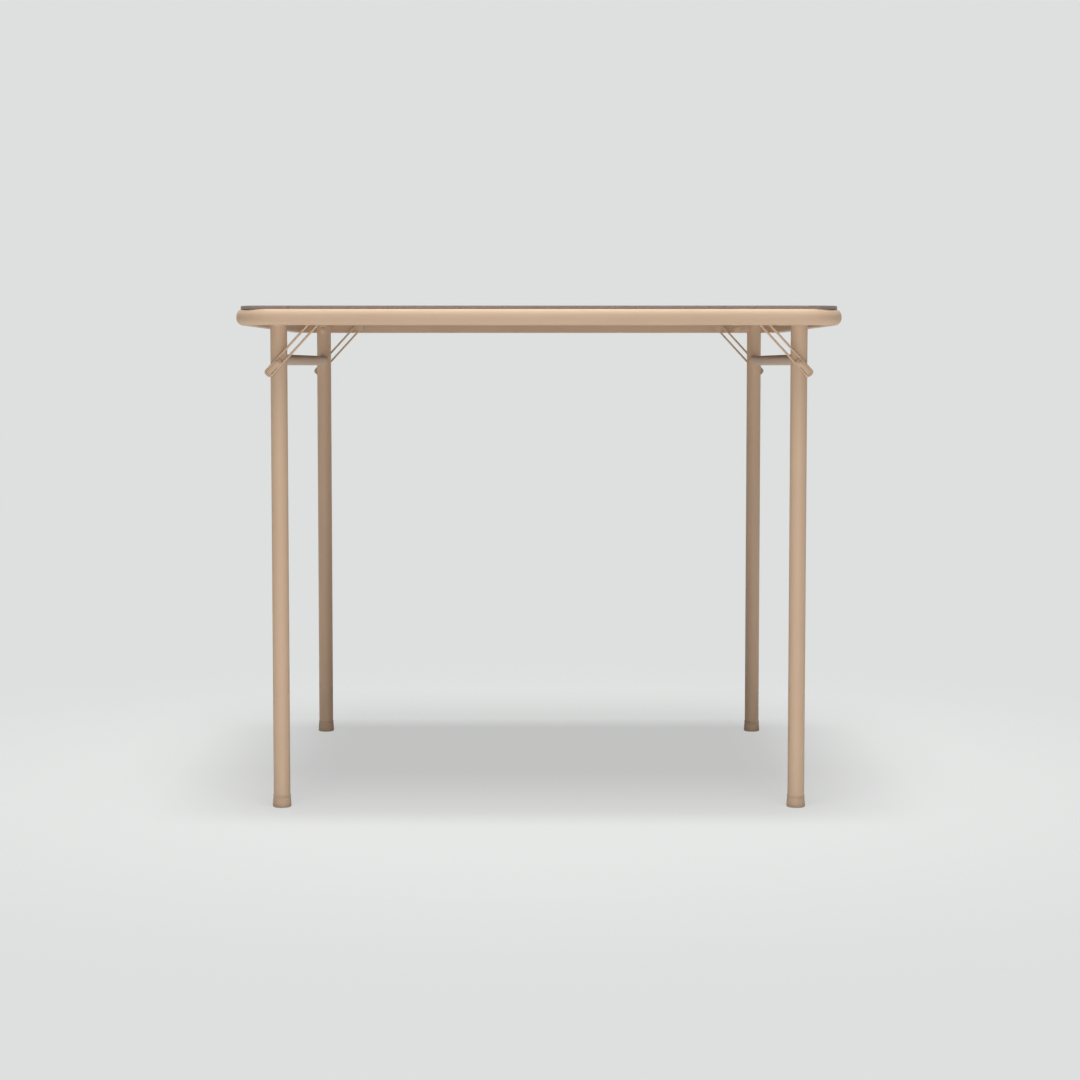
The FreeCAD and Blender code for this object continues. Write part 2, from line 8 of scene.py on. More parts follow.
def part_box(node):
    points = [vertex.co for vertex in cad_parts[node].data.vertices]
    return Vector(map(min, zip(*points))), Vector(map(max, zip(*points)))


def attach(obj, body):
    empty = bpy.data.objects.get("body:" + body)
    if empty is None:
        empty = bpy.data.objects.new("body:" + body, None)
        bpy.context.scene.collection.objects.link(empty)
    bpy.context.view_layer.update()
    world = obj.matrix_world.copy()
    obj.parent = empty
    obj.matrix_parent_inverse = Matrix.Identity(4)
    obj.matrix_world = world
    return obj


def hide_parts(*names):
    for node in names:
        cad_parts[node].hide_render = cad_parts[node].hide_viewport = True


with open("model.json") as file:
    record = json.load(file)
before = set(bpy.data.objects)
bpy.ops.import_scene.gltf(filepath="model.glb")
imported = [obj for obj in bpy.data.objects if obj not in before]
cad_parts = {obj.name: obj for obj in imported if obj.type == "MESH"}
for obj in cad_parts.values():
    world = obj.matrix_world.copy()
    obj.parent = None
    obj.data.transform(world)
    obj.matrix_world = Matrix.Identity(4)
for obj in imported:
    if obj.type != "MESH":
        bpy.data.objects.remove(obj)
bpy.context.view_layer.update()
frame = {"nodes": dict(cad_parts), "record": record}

# Folding card table, in metres: a vinyl-covered top on an enamelled rim, tube legs and wire braces.

MM = 0.001
NODES = frame["nodes"]
BODIES = frame["record"]["behaviour"]["bodies"]
BODY_OF = {node: body for body, nodes in BODIES.items() for node in nodes}
SLOT_OF = {row["node"]: row["material_slot"] for row in frame["record"]["subparts"]}
ENDS = {"front": -1, "back": 1}
SIDES = ("left", "right")
CORNERS = [end + "_" + side for end in ENDS for side in SIDES]
EASED_KINDS = ("hinge_plate_", "leg_bracket_", "slide_rail_", "hinge_lug_", "brace_clip_", "brace_shoe_")

# Camera, at the height and distance of the picture
IMAGE_PIXELS = 1080
CAMERA_PLACE = (0.0, -3.9096, 0.6373)
CAMERA_PITCH_DEGREES = 4.045
CAMERA_LENS = 82.21
CAMERA_SENSOR = 36.0
CAMERA_OFFSET_PIXELS = 1.05

# Studio
BACKDROP = "#DEE0DF"
SKY = "#FFFFFF"
AMBIENT = 0.13
FLOOR = "#DDDEDD"
FLOOR_BOUNCE = "#E6E6E6"
FLOOR_SHOWN = "#DFE1E0"
FLOOR_GLOW = 0.68
FLOOR_HALF = 6.0
FLOOR_FADE_START = 0.6
FLOOR_FADE_END = 1.5
OVERHEAD_WATTS = 435.0
OVERHEAD_SIZE = (2.4, 1.3)
OVERHEAD_PLACE = (0.0, 0.0, 9.0)
OVERHEAD_AIM = (0.0, 0.0, 0.0)
FRONT_WATTS = 197.0
FRONT_SIZE = (2.4, 2.4)
FRONT_PLACE = (0.0, -1.7, 5.65)
FRONT_AIM = (0.0, -0.3, 0.35)
REFLECTOR_WATTS = 25.0
REFLECTOR_SIZE = (2.4, 0.4)
REFLECTOR_PLACE = (0.0, -3.3, 0.2)
REFLECTOR_AIM = (0.0, 0.0, 0.25)

# Colours of the finishes, and the sizes of their patterns
ENAMEL_DEEP = "#C4A68A"
ENAMEL_PALE = "#CFB296"
ENAMEL_DRIFT = 160 * MM
ENAMEL_HAZE = 24 * MM
ENAMEL_PEEL = 2.4 * MM
# The vinyl's crease colour is painted shade in the creases of the grain
VINYL_CREASE_SHADE = "#71665F"
VINYL_PEBBLE = "#8E827B"
VINYL_HANDLED = "#978B83"
VINYL_GRAIN = 2.6 * MM
VINYL_HANDLING = 110 * MM
BOARD_DARK = "#5E4530"
BOARD_PALE = "#8A6B4C"
BOARD_SCREEN = 2.2 * MM
BOARD_FIBRE = 3.5 * MM
FELT_DARK = "#77726A"
FELT_PALE = "#A19B91"
FELT_FIBRE = 1.5 * MM
ZINC_DARK = "#A9A8A4"
ZINC_PALE = "#C9C8C3"
ZINC_CLOUD = 7 * MM
RUBBER_TAN = "#BFA389"
# The second rubber tone is the darker one that the caps take towards the floor
RUBBER_LOW_TONE = "#8A7460"
RUBBER_BLOTCH = 5 * MM
RUBBER_DARK_HEIGHT = 7 * MM
RUBBER_SPARK = 0.9 * MM
NYLON_DEEP = "#BA9E83"
NYLON_PALE = "#C5A98D"
NYLON_MOTTLE = 6 * MM

# Covered top
VINYL_THICKNESS = 0.7 * MM
TOP_CORNER_RADIUS = 40 * MM
TOP_EDGE_ROUND = 1.4 * MM
TOP_EDGE_FALL = 0.15 * MM
TOP_FALL_WIDTH = 25 * MM

# Foot caps
TREAD_HEIGHT = 11 * MM
TREAD_ROUND = 2 * MM
TREAD_TAPER = 0.5 * MM
TREAD_STEP = 0.9 * MM
TREAD_LEDGE_SHARE = 1 / 3
FOOT_FLOOR = 4 * MM
MOUTH_BEAD = 0.25 * MM
MOUTH_BEAD_HEIGHT = 2.4 * MM

# Pins, studs and fasteners
SEAT_GAP = 0.05 * MM
HEAD_RIM_SHARE = 1 / 3
PIN_RADIUS = 3 * MM
PIN_HEAD_HEIGHT = 2 * MM
STUD_RADIUS = 2.5 * MM
STUD_HEAD_HEIGHT = 2 * MM
STUD_CLEARANCE = 0.3 * MM
RIVET_RADIUS = 2 * MM
RIVET_HEAD_HEIGHT = 1.5 * MM
RIVET_RIM_SHARE = 1 / 4
SCREW_RADIUS = 1.5 * MM
SCREW_HEAD_HEIGHT = 1.6 * MM
RECESS_WIDTH = 0.9 * MM
RECESS_LENGTH = 3.6 * MM
RECESS_DEPTH = 0.9 * MM

# Welds and eased edges
BEAD_RADIUS = 1.3 * MM
BEAD_PITCH = 2.4 * MM
BEAD_RIPPLE = 0.14
EDGE_EASE = 0.35 * MM
EASE_ANGLE = math.radians(40)

# Fineness of the meshes
CORNER_SEGMENTS = 14
EDGE_SEGMENTS = 4
EASE_SEGMENTS = 2
ROUND_SEGMENTS = 48
SMALL_SEGMENTS = 24
BEAD_RING_SEGMENTS = 96
BEAD_SEGMENTS = 10
DOME_STEPS = 5
SMOOTH_ANGLE = math.radians(35)
FLAT_ANGLE = math.radians(1)
MERGE_DISTANCE = 0.002 * MM
NEAR = 0.01 * MM

# Upward part of a face's normal, for a level face and for one on its way to level
LEVEL_NORMAL = 0.9
SLOPING_NORMAL = 0.5


def linear(code):
    """Linear colour of an sRGB hex code."""
    parts = [int(code[i:i + 2], 16) / 255 for i in (1, 3, 5)]
    return [p / 12.92 if p <= 0.04045 else ((p + 0.055) / 1.055) ** 2.4 for p in parts] + [1.0]


def per_metre(size):
    """Scale of a pattern that repeats at this size."""
    return 1.0 / size


def add(tree, kind, inputs=None, **settings):
    """One node, with its settings, and its inputs set or linked."""
    made = tree.nodes.new(kind)
    for name, value in settings.items():
        setattr(made, name, value)
    for name, value in (inputs or {}).items():
        if isinstance(value, bpy.types.NodeSocket):
            tree.links.new(value, made.inputs[name])
        else:
            made.inputs[name].default_value = value
    return made


def new_material(name):
    """Empty node material, its tree, and the place on the piece that its patterns read."""
    material = bpy.data.materials.new(name)
    material.use_nodes = True
    tree = material.node_tree
    tree.nodes.clear()
    return material, tree, add(tree, "ShaderNodeTexCoord").outputs["Object"]


def baked_enamel():
    """Enamel sprayed on steel and baked: an even satin coat, with faint orange peel and drift in its tone."""
    material, tree, place = new_material("baked_enamel")
    drift = add(tree, "ShaderNodeTexNoise", {"Vector": place, "Scale": per_metre(ENAMEL_DRIFT),
                                             "Detail": 3.0})
    tone = add(tree, "ShaderNodeMixRGB", {"Fac": drift.outputs["Fac"], "Color1": linear(ENAMEL_DEEP),
                                          "Color2": linear(ENAMEL_PALE)})
    haze = add(tree, "ShaderNodeTexNoise", {"Vector": place, "Scale": per_metre(ENAMEL_HAZE), "Detail": 4.0})
    rough = add(tree, "ShaderNodeMapRange", {"Value": haze.outputs["Fac"], "From Min": 0.3, "From Max": 0.7,
                                             "To Min": 0.5, "To Max": 0.62})
    # Real peel is under a millimetre and is drawn coarser so that it shows
    peel = add(tree, "ShaderNodeTexNoise", {"Vector": place, "Scale": per_metre(ENAMEL_PEEL), "Detail": 1.0})
    bump = add(tree, "ShaderNodeBump", {"Height": peel.outputs["Fac"], "Strength": 0.06,
                                        "Distance": 0.2 * MM})
    shader = add(tree, "ShaderNodeBsdfPrincipled", {"Base Color": tone.outputs["Color"], "IOR": 1.5,
                                                    "Roughness": rough.outputs["Result"],
                                                    "Normal": bump.outputs["Normal"]})
    add(tree, "ShaderNodeOutputMaterial", {"Surface": shader.outputs["BSDF"]})
    return material


def grained_vinyl():
    """Vinyl leathercloth with a pressed pebble grain: painted shade darkens the creases, a dull shine on the
    pebbles.
    """
    material, tree, place = new_material("grained_vinyl")
    # Real pebbles are about a millimetre and are drawn coarser so that they show
    cells = add(tree, "ShaderNodeTexVoronoi", {"Vector": place, "Scale": per_metre(VINYL_GRAIN)},
                feature="DISTANCE_TO_EDGE")
    pebble = add(tree, "ShaderNodeMapRange", {"Value": cells.outputs["Distance"], "From Max": 0.18},
                 interpolation_type="SMOOTHSTEP")
    # Painted shade: the colour darkens towards the cell edges, where the grain's creases lie
    crease_shaded = add(tree, "ShaderNodeMixRGB", {"Fac": pebble.outputs["Result"], "Color1": linear(VINYL_CREASE_SHADE),
                                           "Color2": linear(VINYL_PEBBLE)})
    handling = add(tree, "ShaderNodeTexNoise", {"Vector": place, "Scale": per_metre(VINYL_HANDLING),
                                                "Detail": 4.0})
    share = add(tree, "ShaderNodeMapRange", {"Value": handling.outputs["Fac"], "From Min": 0.35,
                                             "From Max": 0.75, "To Max": 0.25})
    tone = add(tree, "ShaderNodeMixRGB", {"Fac": share.outputs["Result"], "Color1": crease_shaded.outputs["Color"],
                                          "Color2": linear(VINYL_HANDLED)})
    rough = add(tree, "ShaderNodeMapRange", {"Value": handling.outputs["Fac"], "To Min": 0.44,
                                             "To Max": 0.60})
    bump = add(tree, "ShaderNodeBump", {"Height": pebble.outputs["Result"], "Strength": 0.35,
                                        "Distance": 0.2 * MM})
    shader = add(tree, "ShaderNodeBsdfPrincipled", {"Base Color": tone.outputs["Color"], "IOR": 1.5,
                                                    "Roughness": rough.outputs["Result"],
                                                    "Normal": bump.outputs["Normal"]})
    add(tree, "ShaderNodeOutputMaterial", {"Surface": shader.outputs["BSDF"]})
    return material


def hardboard():
    """Pressed fibreboard, screen side out: brown fibre flecks over the dimples of the press's wire screen."""
    material, tree, place = new_material("hardboard")
    # A wave texture of scale 1 repeats at this length
    wave_span = math.tau / 20
    # Real screens have about 1 mm mesh, drawn coarser so that it shows
    screen = [add(tree, "ShaderNodeTexWave", {"Vector": place, "Scale": wave_span * per_metre(BOARD_SCREEN)},
                  bands_direction=direction) for direction in ("X", "Y")]
    dimples = add(tree, "ShaderNodeMath", {0: screen[0].outputs["Fac"], 1: screen[1].outputs["Fac"]},
                  operation="MULTIPLY")
    fibre = add(tree, "ShaderNodeTexNoise", {"Vector": place, "Scale": per_metre(BOARD_FIBRE), "Detail": 6.0,
                                             "Roughness": 0.7})
    flecks = add(tree, "ShaderNodeMapRange", {"Value": fibre.outputs["Fac"], "From Min": 0.35,
                                              "From Max": 0.65})
    tone = add(tree, "ShaderNodeMixRGB", {"Fac": flecks.outputs["Result"], "Color1": linear(BOARD_DARK),
                                          "Color2": linear(BOARD_PALE)})
    bump = add(tree, "ShaderNodeBump", {"Height": dimples.outputs["Value"], "Strength": 0.3,
                                        "Distance": 0.25 * MM})
    shader = add(tree, "ShaderNodeBsdfPrincipled", {"Base Color": tone.outputs["Color"], "Roughness": 0.75,
                                                    "Normal": bump.outputs["Normal"]})
    add(tree, "ShaderNodeOutputMaterial", {"Surface": shader.outputs["BSDF"]})
    return material


def felt_pad():
    """Pressed felt under the vinyl: matted grey fibres with no shine."""
    material, tree, place = new_material("felt_pad")
    fibre = add(tree, "ShaderNodeTexNoise", {"Vector": place, "Scale": per_metre(FELT_FIBRE), "Detail": 6.0})
    tone = add(tree, "ShaderNodeMixRGB", {"Fac": fibre.outputs["Fac"], "Color1": linear(FELT_DARK),
                                          "Color2": linear(FELT_PALE)})
    bump = add(tree, "ShaderNodeBump", {"Height": fibre.outputs["Fac"], "Strength": 0.5,
                                        "Distance": 0.3 * MM})
    shader = add(tree, "ShaderNodeBsdfPrincipled", {"Base Color": tone.outputs["Color"], "Roughness": 0.95,
                                                    "Normal": bump.outputs["Normal"]})
    add(tree, "ShaderNodeOutputMaterial", {"Surface": shader.outputs["BSDF"]})
    return material


def zinc_plate():
    """Electroplated zinc on steel: grey metal with a cloudy, faintly patchy shine."""
    material, tree, place = new_material("zinc_plate")
    cloud = add(tree, "ShaderNodeTexNoise", {"Vector": place, "Scale": per_metre(ZINC_CLOUD), "Detail": 5.0})
    tone = add(tree, "ShaderNodeMixRGB", {"Fac": cloud.outputs["Fac"], "Color1": linear(ZINC_DARK),
                                          "Color2": linear(ZINC_PALE)})
    rough = add(tree, "ShaderNodeMapRange", {"Value": cloud.outputs["Fac"], "To Min": 0.26, "To Max": 0.48})
    shader = add(tree, "ShaderNodeBsdfPrincipled", {"Base Color": tone.outputs["Color"], "Metallic": 1.0,
                                                    "Roughness": rough.outputs["Result"]})
    add(tree, "ShaderNodeOutputMaterial", {"Surface": shader.outputs["BSDF"]})
    return material


def moulded_rubber():
    """Moulded tan rubber: dull, with a fine spark-eroded texture, and darker in noise blotches towards the
    floor.
    """
    material, tree, place = new_material("moulded_rubber")
    height = add(tree, "ShaderNodeSeparateXYZ", {"Vector": place})
    blotch = add(tree, "ShaderNodeTexNoise", {"Vector": place, "Scale": per_metre(RUBBER_BLOTCH),
                                             "Detail": 4.0})
    low = add(tree, "ShaderNodeMapRange", {"Value": height.outputs["Z"], "From Min": RUBBER_DARK_HEIGHT,
                                           "From Max": 0.0, "To Max": 0.8})
    # Darker in noise blotches within a few millimetres of the floor
    low_darkening = add(tree, "ShaderNodeMath", {0: low.outputs["Result"], 1: blotch.outputs["Fac"]},
               operation="MULTIPLY")
    tone = add(tree, "ShaderNodeMixRGB", {"Fac": low_darkening.outputs["Value"], "Color1": linear(RUBBER_TAN),
                                          "Color2": linear(RUBBER_LOW_TONE)})
    spark = add(tree, "ShaderNodeTexNoise", {"Vector": place, "Scale": per_metre(RUBBER_SPARK),
                                             "Detail": 2.0})
    bump = add(tree, "ShaderNodeBump", {"Height": spark.outputs["Fac"], "Strength": 0.2,
                                        "Distance": 0.15 * MM})
    shader = add(tree, "ShaderNodeBsdfPrincipled", {"Base Color": tone.outputs["Color"], "Roughness": 0.62,
                                                    "Normal": bump.outputs["Normal"]})
    add(tree, "ShaderNodeOutputMaterial", {"Surface": shader.outputs["BSDF"]})
    return material


def moulded_nylon():
    """Tan nylon, moulded: slightly waxy, with a soft mottle."""
    material, tree, place = new_material("moulded_nylon")
    mottle = add(tree, "ShaderNodeTexNoise", {"Vector": place, "Scale": per_metre(NYLON_MOTTLE),
                                              "Detail": 3.0})
    tone = add(tree, "ShaderNodeMixRGB", {"Fac": mottle.outputs["Fac"], "Color1": linear(NYLON_DEEP),
                                          "Color2": linear(NYLON_PALE)})
    rough = add(tree, "ShaderNodeMapRange", {"Value": mottle.outputs["Fac"], "To Min": 0.38, "To Max": 0.52})
    shader = add(tree, "ShaderNodeBsdfPrincipled", {"Base Color": tone.outputs["Color"], "IOR": 1.53,
                                                    "Roughness": rough.outputs["Result"],
                                                    "Subsurface Weight": 0.1, "Subsurface Scale": 1 * MM})
    add(tree, "ShaderNodeOutputMaterial", {"Surface": shader.outputs["BSDF"]})
    return material


def seen_rays(tree):
    """One for what the camera sees, straight or through a reflection, and nought for light that bounces."""
    path = add(tree, "ShaderNodeLightPath")
    seen = add(tree, "ShaderNodeMath", {0: path.outputs["Is Camera Ray"], 1: path.outputs["Is Glossy Ray"]},
               operation="MAXIMUM")
    seen = add(tree, "ShaderNodeMath", {0: seen.outputs["Value"], 1: path.outputs["Is Transmission Ray"]},
               operation="MAXIMUM")
    return seen.outputs["Value"]


def studio_paper():
    """Pale matt paper, clear from below: part of what is seen is the backdrop's tone, for a softer shadow."""
    material, tree, place = new_material("studio_paper")
    seen = seen_rays(tree)
    share = add(tree, "ShaderNodeMath", {0: seen, 1: FLOOR_GLOW}, operation="MULTIPLY")
    tone = add(tree, "ShaderNodeMixRGB", {"Fac": seen, "Color1": linear(FLOOR_BOUNCE),
                                          "Color2": linear(FLOOR)})
    matt = add(tree, "ShaderNodeBsdfDiffuse", {"Color": tone.outputs["Color"]})
    glow = add(tree, "ShaderNodeEmission", {"Color": linear(FLOOR_SHOWN), "Strength": 1.0})
    paper = add(tree, "ShaderNodeMixShader", {0: share.outputs["Value"], 1: matt.outputs["BSDF"],
                                              2: glow.outputs["Emission"]})
    reach = add(tree, "ShaderNodeVectorMath", {0: place}, operation="LENGTH")
    fade = add(tree, "ShaderNodeMapRange", {"Value": reach.outputs["Value"], "From Min": FLOOR_FADE_START,
                                            "From Max": FLOOR_FADE_END}, interpolation_type="SMOOTHSTEP")
    clear = add(tree, "ShaderNodeBsdfTransparent")
    below = add(tree, "ShaderNodeNewGeometry").outputs["Backfacing"]
    hidden = add(tree, "ShaderNodeMath", {0: below, 1: fade.outputs["Result"]}, operation="MAXIMUM")
    gone = add(tree, "ShaderNodeMath", {0: seen, 1: hidden.outputs["Value"]}, operation="MULTIPLY")
    faded = add(tree, "ShaderNodeMixShader", {0: gone.outputs["Value"], 1: paper.outputs["Shader"],
                                              2: clear.outputs["BSDF"]})
    add(tree, "ShaderNodeOutputMaterial", {"Surface": faded.outputs["Shader"]})
    return material


def backdrop_world():
    """Even sky light, with the backdrop's tone where the camera looks past the floor."""
    world = bpy.data.worlds.new("studio_world")
    bpy.context.scene.world = world
    world.use_nodes = True
    tree = world.node_tree
    tree.nodes.clear()
    ambient = add(tree, "ShaderNodeBackground", {"Color": linear(SKY), "Strength": AMBIENT})
    backdrop = add(tree, "ShaderNodeBackground", {"Color": linear(BACKDROP), "Strength": 1.0})
    mixed = add(tree, "ShaderNodeMixShader", {0: seen_rays(tree), 1: ambient.outputs["Background"],
                                              2: backdrop.outputs["Background"]})
    add(tree, "ShaderNodeOutputWorld", {"Surface": mixed.outputs["Shader"]})


def soft_lamp(name, watts, size, place, aim):
    """Soft rectangular lamp, pointed at a place."""
    lamp = bpy.data.lights.new(name, "AREA")
    lamp.energy = watts
    lamp.shape = "RECTANGLE"
    lamp.size, lamp.size_y = size
    holder = bpy.data.objects.new(name, lamp)
    bpy.context.scene.collection.objects.link(holder)
    holder.location = place
    holder.rotation_euler = (Vector(aim) - Vector(place)).to_track_quat("-Z", "Y").to_euler()


def studio():
    """Pale floor that fades into the backdrop, two soft boxes above and a reflector card before the table."""
    backdrop_world()
    bpy.ops.object.select_all(action="DESELECT")
    bpy.ops.mesh.primitive_plane_add(size=2 * FLOOR_HALF)
    floor = bpy.context.object
    floor.name = "studio_floor"
    floor.data.materials.append(studio_paper())
    soft_lamp("overhead_softbox", OVERHEAD_WATTS, OVERHEAD_SIZE, OVERHEAD_PLACE, OVERHEAD_AIM)
    soft_lamp("front_softbox", FRONT_WATTS, FRONT_SIZE, FRONT_PLACE, FRONT_AIM)
    soft_lamp("reflector_card", REFLECTOR_WATTS, REFLECTOR_SIZE, REFLECTOR_PLACE, REFLECTOR_AIM)


def camera():
    """Camera just under the level of the top, looking slightly down."""
    data = bpy.data.cameras.new("camera")
    data.lens = CAMERA_LENS
    data.sensor_width = CAMERA_SENSOR
    data.shift_x = CAMERA_OFFSET_PIXELS / IMAGE_PIXELS
    holder = bpy.data.objects.new("camera", data)
    bpy.context.scene.collection.objects.link(holder)
    holder.location = CAMERA_PLACE
    holder.rotation_euler = (math.radians(90 - CAMERA_PITCH_DEGREES), 0, 0)
    bpy.context.scene.camera = holder


def dress_nodes():
    """Gives every piece of the frame the finish of its material slot."""
    for name, piece in NODES.items():
        piece.data.materials.clear()
        piece.data.materials.append(FINISHES[SLOT_OF[name]])


def begin(name):
    """Takes the primitive just added as a new piece in edit mode, with its place in its mesh."""
    piece = bpy.context.object
    piece.name = name
    bpy.ops.object.transform_apply(location=True, rotation=True, scale=True)
    bpy.ops.object.mode_set(mode="EDIT")
    return piece


def pick(piece, kind, test):
    """Selects the vertices, edges or faces of a piece in edit mode that pass a test."""
    bpy.ops.mesh.select_mode(type=kind)
    bpy.ops.mesh.select_all(action="DESELECT")
    shape = bmesh.from_edit_mesh(piece.data)
    shape.normal_update()
    for part in {"VERT": shape.verts, "EDGE": shape.edges, "FACE": shape.faces}[kind]:
        if test(part):
            part.select_set(True)
    bmesh.update_edit_mesh(piece.data)


def close():
    """Merges doubles, points all faces outwards and leaves edit mode."""
    bpy.ops.mesh.select_all(action="SELECT")
    bpy.ops.mesh.remove_doubles(threshold=MERGE_DISTANCE)
    bpy.ops.mesh.normals_make_consistent(inside=False)
    bpy.ops.object.mode_set(mode="OBJECT")


def alone(piece):
    """Makes a piece the only one that is selected and active."""
    bpy.ops.object.select_all(action="DESELECT")
    piece.select_set(True)
    bpy.context.view_layer.objects.active = piece


def fit(piece, slot, body, *replaced):
    """Gives a finished piece its shading, finish and body, and hides the nodes that it stands for."""
    alone(piece)
    bpy.ops.object.shade_smooth_by_angle(angle=SMOOTH_ANGLE)
    piece.data.materials.clear()
    piece.data.materials.append(FINISHES[slot])
    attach(piece, body)
    if replaced:
        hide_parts(*replaced)


def fit_for(piece, node):
    """Fits a piece in the place of a node, with the node's finish and body."""
    fit(piece, SLOT_OF[node], BODY_OF[node], node)


def middle_of(node):
    """Middle of a node's box."""
    low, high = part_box(node)
    return (low + high) / 2


def radius_of(node):
    """Radius of an upright tube, or of a bar from front to back."""
    low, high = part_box(node)
    return (high.x - low.x) / 2


def turned(name, steps, segments):
    """Turned piece about Z: a disc drawn on through steps of (radius, height), from first face to last."""
    bpy.ops.object.select_all(action="DESELECT")
    radius, height = steps[0]
    bpy.ops.mesh.primitive_circle_add(vertices=segments, radius=radius, fill_type="NGON",
                                      location=(0, 0, height))
    piece = begin(name)
    for new_radius, new_height in steps[1:]:
        share = new_radius / radius
        bpy.ops.mesh.extrude_region_move(TRANSFORM_OT_translate={"value": (0, 0, new_height - height)})
        bpy.ops.transform.resize(value=(share, share, 1), center_override=(0, 0, new_height))
        radius, height = new_radius, new_height
    close()
    return piece


def dome(radius, base, height):
    """Steps of a dome, from its edge at a base height to just short of its crown."""
    steps = []
    for i in range(DOME_STEPS):
        angle = math.radians(90) * i / DOME_STEPS
        steps.append((radius * math.cos(angle), base + height * math.sin(angle)))
    return steps


def domed_head(radius, seat, height, rim_share):
    """Steps of a head on its seat: a straight rim, and a dome over it."""
    rim = height * rim_share
    return [(radius, seat)] + dome(radius, seat + rim, height - rim)


def flipped(steps):
    """The same steps pointing the other way, from crown to edge."""
    return [(radius, -height) for radius, height in reversed(steps)]


def copy_of(model, name, place, turn=Matrix()):
    """Copy of a modelled piece with its own mesh, turned and then set in its place."""
    mesh = model.data.copy()
    mesh.transform(Matrix.Translation(place) @ turn)
    piece = bpy.data.objects.new(name, mesh)
    bpy.context.scene.collection.objects.link(piece)
    return piece


def joined(pieces, name):
    """Loose copies as one piece."""
    alone(pieces[0])
    for piece in pieces:
        piece.select_set(True)
    bpy.ops.object.join()
    pieces[0].name = name
    return pieces[0]


def islands(node):
    """Lowest and highest corner of every separate solid in a group node."""
    shape = bmesh.new()
    shape.from_mesh(NODES[node].data)
    bmesh.ops.remove_doubles(shape, verts=shape.verts, dist=MERGE_DISTANCE)
    waiting = set(shape.verts)
    boxes = []
    for first in shape.verts:
        if first not in waiting:
            continue
        waiting.remove(first)
        reached = [first]
        for vertex in reached:
            near = [edge.other_vert(vertex) for edge in vertex.link_edges]
            fresh = [other for other in near if other in waiting]
            waiting.difference_update(fresh)
            reached.extend(fresh)
        spans = [[vertex.co[axis] for vertex in reached] for axis in range(3)]
        boxes.append((Vector([min(span) for span in spans]), Vector([max(span) for span in spans])))
    shape.free()
    return boxes


def set_in_group(model, name, node, head_height):
    """Sets a fastener at every solid of a group node, all as one piece."""
    copies = []
    for low, high in islands(node):
        place = ((low.x + high.x) / 2, (low.y + high.y) / 2, low.z + head_height)
        copies.append(copy_of(model, model.name, place))
    bpy.data.objects.remove(model)
    fit_for(joined(copies, name), node)


def outward_turn(end):
    """Turns a piece made about Z so that it points out of the table at the front or the back."""
    return Matrix.Rotation(-ENDS[end] * math.radians(90), 4, "X")


def vinyl_top():
    """Vinyl drawn over the pad and down round the board: it falls a little towards a rounded edge."""
    low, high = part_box("top_cover")
    size = high - low

    def upright(edge):
        """True for the four edges at the corners."""
        return abs(edge.verts[0].co.z - edge.verts[1].co.z) > NEAR

    def faces_down(face):
        """True for the underside."""
        return face.normal.z < -LEVEL_NORMAL

    def faces_up(face):
        """True for the top."""
        return face.normal.z > LEVEL_NORMAL

    def on_outline(vertex):
        """True for the vertices round the outside of the top."""
        return vertex.co.z > high.z - NEAR and not all(faces_up(face) for face in vertex.link_faces)

    def round_top(edge):
        """True for the edges between the top and the sides."""
        rises = sorted(face.normal.z > SLOPING_NORMAL for face in edge.link_faces)
        lowest = min(vertex.co.z for vertex in edge.verts)
        return rises == [False, True] and lowest > high.z - size.z / 2

    bpy.ops.object.select_all(action="DESELECT")
    bpy.ops.mesh.primitive_cube_add(size=1, location=(low + high) / 2, scale=size)
    cover = begin("vinyl_top")
    pick(cover, "EDGE", upright)
    bpy.ops.mesh.bevel(offset=TOP_CORNER_RADIUS, segments=CORNER_SEGMENTS, affect="EDGES")
    pick(cover, "FACE", faces_down)
    bpy.ops.mesh.inset(thickness=VINYL_THICKNESS)
    bpy.ops.mesh.extrude_region_move(TRANSFORM_OT_translate={"value": (0, 0, size.z - VINYL_THICKNESS)})
    pick(cover, "FACE", faces_up)
    bpy.ops.mesh.inset(thickness=TOP_FALL_WIDTH)
    pick(cover, "VERT", on_outline)
    bpy.ops.transform.translate(value=(0, 0, -TOP_EDGE_FALL))
    pick(cover, "EDGE", round_top)
    bpy.ops.mesh.bevel(offset=TOP_EDGE_ROUND, segments=EDGE_SEGMENTS, affect="EDGES")
    close()
    fit_for(cover, "top_cover")


def foot_caps():
    """Moulded caps: a rounded, tapered tread, a step in to a straight sleeve, and a bead round the mouth."""
    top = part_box("foot_front_left")[1].z
    tread = radius_of("foot_front_left")
    bore = radius_of("leg_front_left") + SEAT_GAP
    shoulder = tread - TREAD_TAPER
    sleeve = tread - TREAD_STEP
    ledge = shoulder + TREAD_LEDGE_SHARE * (sleeve - shoulder)
    mouth = top - MOUTH_BEAD_HEIGHT
    steps = [(tread - TREAD_ROUND, 0)]
    for radius, height in reversed(dome(TREAD_ROUND, 0, TREAD_ROUND)):
        steps.append((tread - TREAD_ROUND + radius, TREAD_ROUND - height))
    steps += [(shoulder, TREAD_HEIGHT), (ledge, TREAD_HEIGHT + TREAD_STEP),
              (sleeve, TREAD_HEIGHT + 2 * TREAD_STEP), (sleeve, mouth)]
    for i in range(1, DOME_STEPS):
        angle = math.pi * i / DOME_STEPS
        rise = MOUTH_BEAD_HEIGHT * (1 - math.cos(angle)) / 2
        steps.append((sleeve + MOUTH_BEAD * math.sin(angle), mouth + rise))
    steps += [(sleeve, top), (bore, top), (bore, FOOT_FLOOR)]
    model = turned("foot_cap", steps, ROUND_SEGMENTS)
    for corner in CORNERS:
        node = "foot_" + corner
        middle = middle_of(node)
        cap = copy_of(model, "foot_cap_" + corner, (middle.x, middle.y, 0))
        fit_for(cap, node)
    bpy.data.objects.remove(model)


